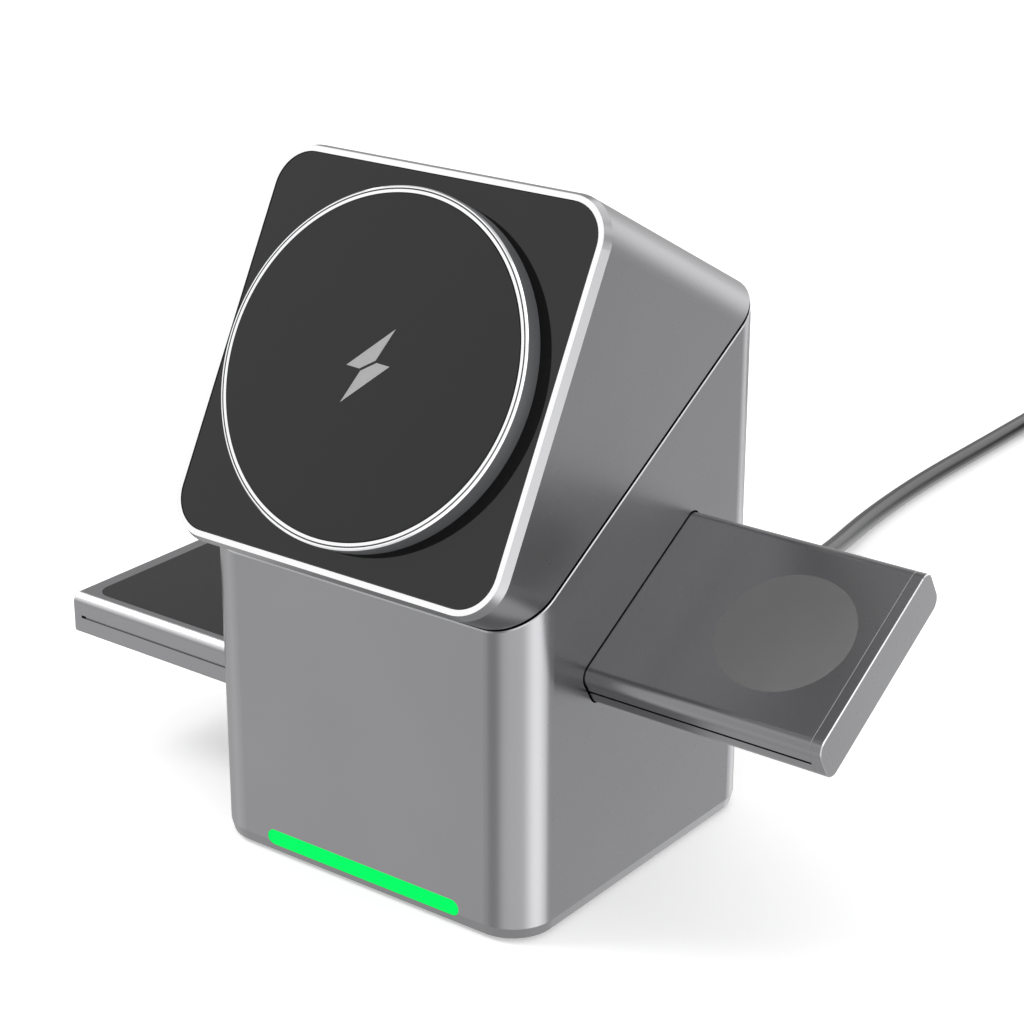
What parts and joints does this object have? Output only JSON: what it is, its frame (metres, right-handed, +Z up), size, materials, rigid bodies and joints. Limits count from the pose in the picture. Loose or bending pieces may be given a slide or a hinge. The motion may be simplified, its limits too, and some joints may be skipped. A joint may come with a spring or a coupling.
{
  "type": "wireless charger",
  "caption": "Folding aluminium box charger with a turning head and round magnetic phone pad, a pull-out earbud tray, a tilted pull-out watch arm, a light strip and a lead.",
  "frame": {"origin": "centre of the underside of the foot pad", "axes": "+Z up, +X towards the watch arm, +Y towards the rear, where the lead leaves"},
  "size_m": [0.1464, 0.3248, 0.112],
  "materials": {
    "body_aluminium": "satin bead-blasted anodised",
    "dark_plastic": "fine matt texture",
    "grey_rubber": "matt",
    "zinc_steel": "zinc plated",
    "raw_steel": "phosphated",
    "light_guide": "clear, shown lit green",
    "board": "solder mask",
    "plated_steel": "nickel plated",
    "natural_plastic": "low-friction moulding",
    "bearing_plastic": "plain bearing moulding",
    "spring_steel": "blued",
    "soft_pad": "matt silicone",
    "puck_face": "matt silicone",
    "mark_grey": "printed inlay",
    "coil_copper": "enamelled wire",
    "ferrite": "sintered",
    "watch_plastic": "translucent satin",
    "magnet": "nickel plated",
    "panel_glass": "dark tempered, printed behind",
    "bright_aluminium": "turned and polished",
    "turned_steel": "turned",
    "cord_jacket": "satin",
    "plug_plastic": "fine matt texture"
  },
  "bodies": {
    "base": {"base_housing": "body_aluminium", "bottom_cover": "dark_plastic", "foot_pad": "grey_rubber", "cover_screws": "zinc_steel", "guide_screws": "zinc_steel", "board_screws": "zinc_steel", "ballast_plate": "raw_steel", "light_guide": "light_guide", "light_board": "board", "main_board": "board", "usb_port": "plated_steel", "tray_guide": "natural_plastic", "arm_guide": "natural_plastic", "pivot_bush": "bearing_plastic", "disc_spring": "spring_steel", "cord": "cord_jacket", "cord_tail": "cord_jacket", "cord_coil": "cord_jacket", "plug_body": "plug_plastic", "strain_relief": "plug_plastic", "far_plug_body": "plug_plastic", "far_strain_relief": "plug_plastic", "plug_shell": "plated_steel", "far_plug_shell": "plated_steel"},
    "head": {"head_housing": "body_aluminium", "face_panel": "panel_glass", "head_board": "board", "head_board_screws": "zinc_steel", "puck_ring": "bright_aluminium", "puck_base": "dark_plastic", "puck_top": "puck_face", "charge_mark": "mark_grey", "puck_magnets": "magnet", "phone_ferrite": "ferrite", "phone_coil": "coil_copper", "spindle": "turned_steel", "thrust_washer": "turned_steel", "spindle_nut": "turned_steel", "stop_pin": "turned_steel"},
    "tray": {"tray_body": "body_aluminium", "tray_pad": "soft_pad", "tray_coil": "coil_copper", "tray_ferrite": "ferrite"},
    "arm": {"arm_body": "body_aluminium", "arm_end_cap": "body_aluminium", "watch_disc": "watch_plastic", "watch_coil": "coil_copper", "watch_magnet": "magnet", "watch_ferrite": "ferrite"}
  },
  "joints": [
    {"name": "head_turn", "type": "hinge", "parent": "base", "child": "head", "pos_m": [0, 0, 0.07084], "axis": [0, -0.5113, 0.8594], "range_deg": [0, 180]},
    {"name": "tray_slide", "type": "slide", "parent": "base", "child": "tray", "axis": [1, 0, 0], "range_m": [0, 0.0414]},
    {"name": "arm_slide", "type": "slide", "parent": "base", "child": "arm", "axis": [-1, 0, 0], "range_m": [0, 0.041]}
  ]
}
